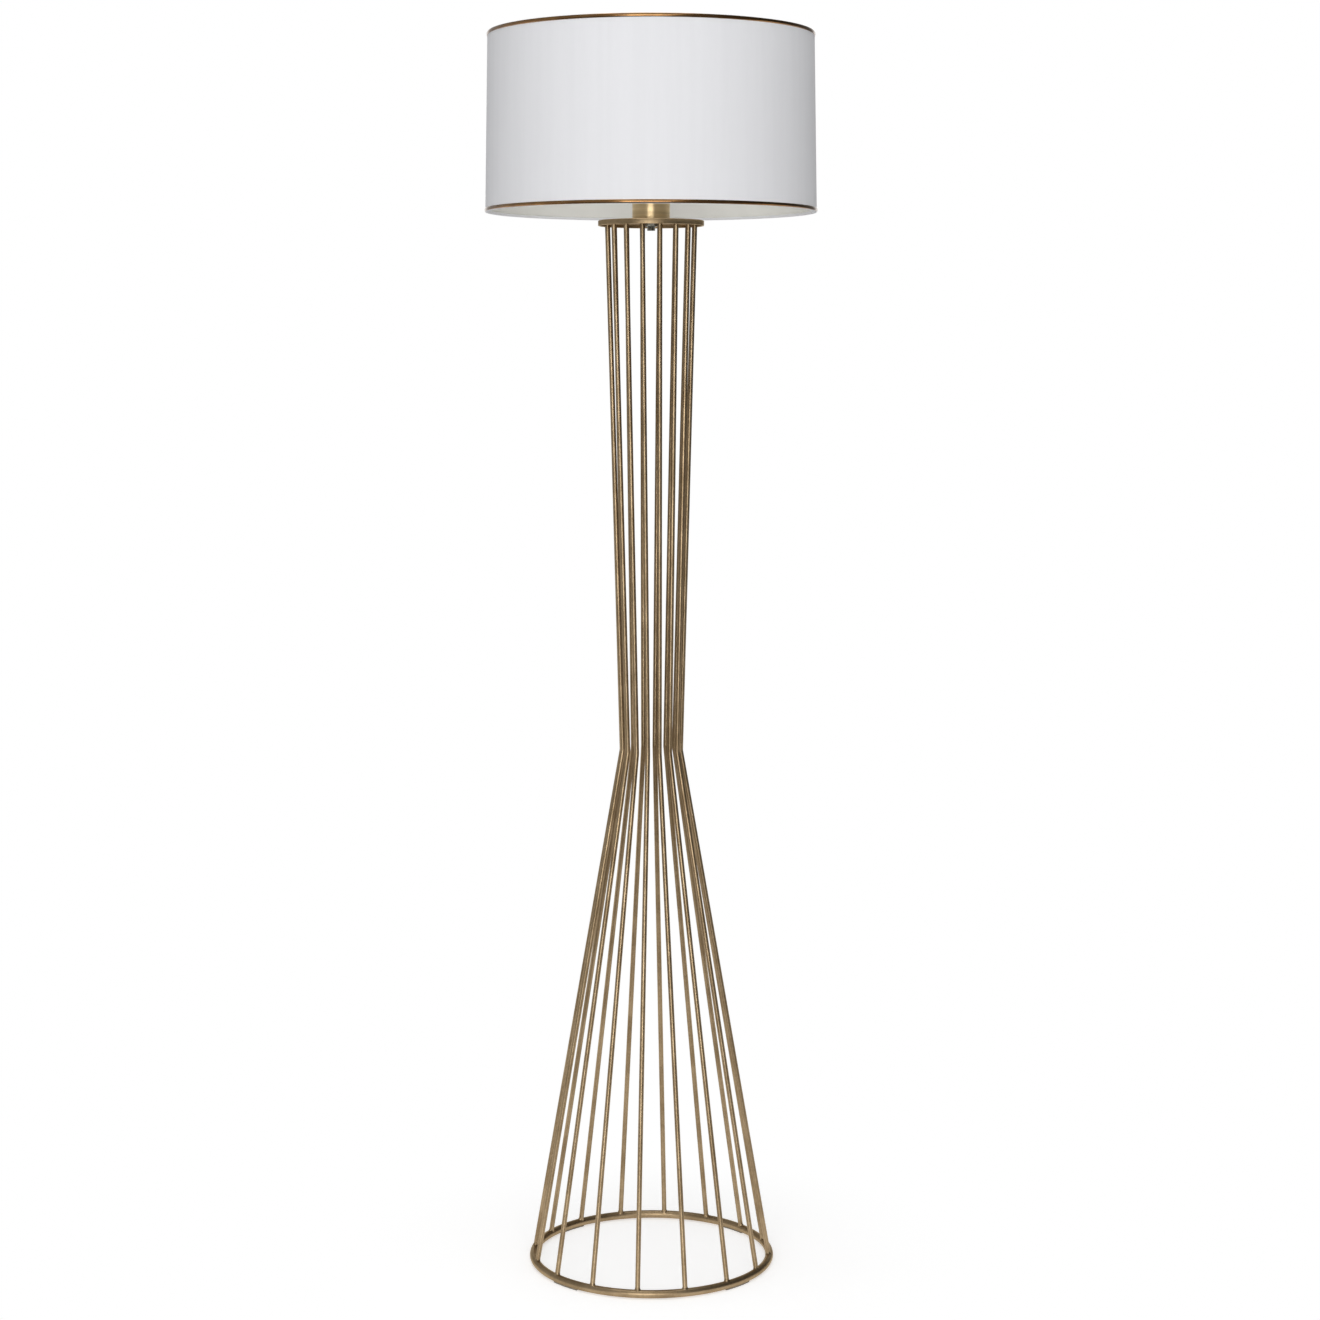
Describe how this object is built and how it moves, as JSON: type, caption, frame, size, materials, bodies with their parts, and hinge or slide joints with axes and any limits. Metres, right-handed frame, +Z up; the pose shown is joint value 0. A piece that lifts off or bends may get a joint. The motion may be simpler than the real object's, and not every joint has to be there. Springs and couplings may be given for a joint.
{
  "type": "floor lamp",
  "caption": "Floor lamp: a waisted cage of bent metal rods on a ring foot carries a lampholder and a white drum shade with gold edging.",
  "frame": {"origin": "on the floor at the middle of the foot ring", "axes": "+Z up along the lamp axis, -Y towards the pictured front, +X to its right"},
  "size_m": [0.4, 0.4, 1.51],
  "materials": {
    "antique_gold": "satin",
    "brushed_brass": "brushed",
    "gold_edging": "metallised gloss",
    "shade_fabric": "smooth white textile laminated on a stiff liner",
    "white_wire": "semi-gloss",
    "zinc_steel": "zinc plated",
    "black_plastic": "matte",
    "ceramic_block": "glazed",
    "contact_brass": "plain",
    "bulb_metal": "satin",
    "bulb_black": "glossy",
    "opal_glass": "opal",
    "felt": "felt"
  },
  "bodies": {
    "stand": {"cage_rod_01": "antique_gold", "cage_rod_02": "antique_gold", "cage_rod_03": "antique_gold", "cage_rod_04": "antique_gold", "cage_rod_05": "antique_gold", "cage_rod_06": "antique_gold", "cage_rod_07": "antique_gold", "cage_rod_08": "antique_gold", "cage_rod_09": "antique_gold", "cage_rod_10": "antique_gold", "cage_rod_11": "antique_gold", "cage_rod_12": "antique_gold", "cage_rod_13": "antique_gold", "cage_rod_14": "antique_gold", "cage_rod_15": "antique_gold", "cage_rod_16": "antique_gold", "centre_contact": "contact_brass", "contact_block": "ceramic_block", "foot_glide_1": "felt", "foot_glide_2": "felt", "foot_glide_3": "felt", "foot_glide_4": "felt", "foot_ring": "antique_gold", "foot_weld_beads": "antique_gold", "lampholder_base": "black_plastic", "lampholder_skirt": "black_plastic", "lock_nut": "zinc_steel", "lock_washer": "zinc_steel", "lower_shade_ring": "black_plastic", "screw_shell": "contact_brass", "socket_cup": "brushed_brass", "terminal_screws": "zinc_steel", "threaded_tube": "zinc_steel", "top_cap": "antique_gold", "top_weld_beads": "antique_gold", "upper_shade_ring": "black_plastic"},
    "shade": {"fitter_hub": "white_wire", "bottom_hoop": "white_wire", "top_hoop": "white_wire", "shade_drum": "shade_fabric", "drum_seam": "shade_fabric", "bottom_hem": "shade_fabric", "top_hem": "shade_fabric", "bottom_trim": "gold_edging", "top_trim": "gold_edging", "fitter_arm_back": "white_wire", "fitter_arm_left": "white_wire", "fitter_arm_right": "white_wire"},
    "bulb": {"bulb_cap": "bulb_metal", "bulb_contact": "bulb_metal", "bulb_glass": "opal_glass", "bulb_insulator": "bulb_black"}
  },
  "joints": [
    {"name": "shade_turn", "type": "hinge", "parent": "stand", "child": "shade", "pos_m": [0, 0, 1.332], "axis": [0, 0, 1], "continuous": true},
    {"name": "bulb_lift", "type": "slide", "parent": "stand", "child": "bulb", "axis": [0, 0, 1], "range_m": [0, 0.2]}
  ]
}
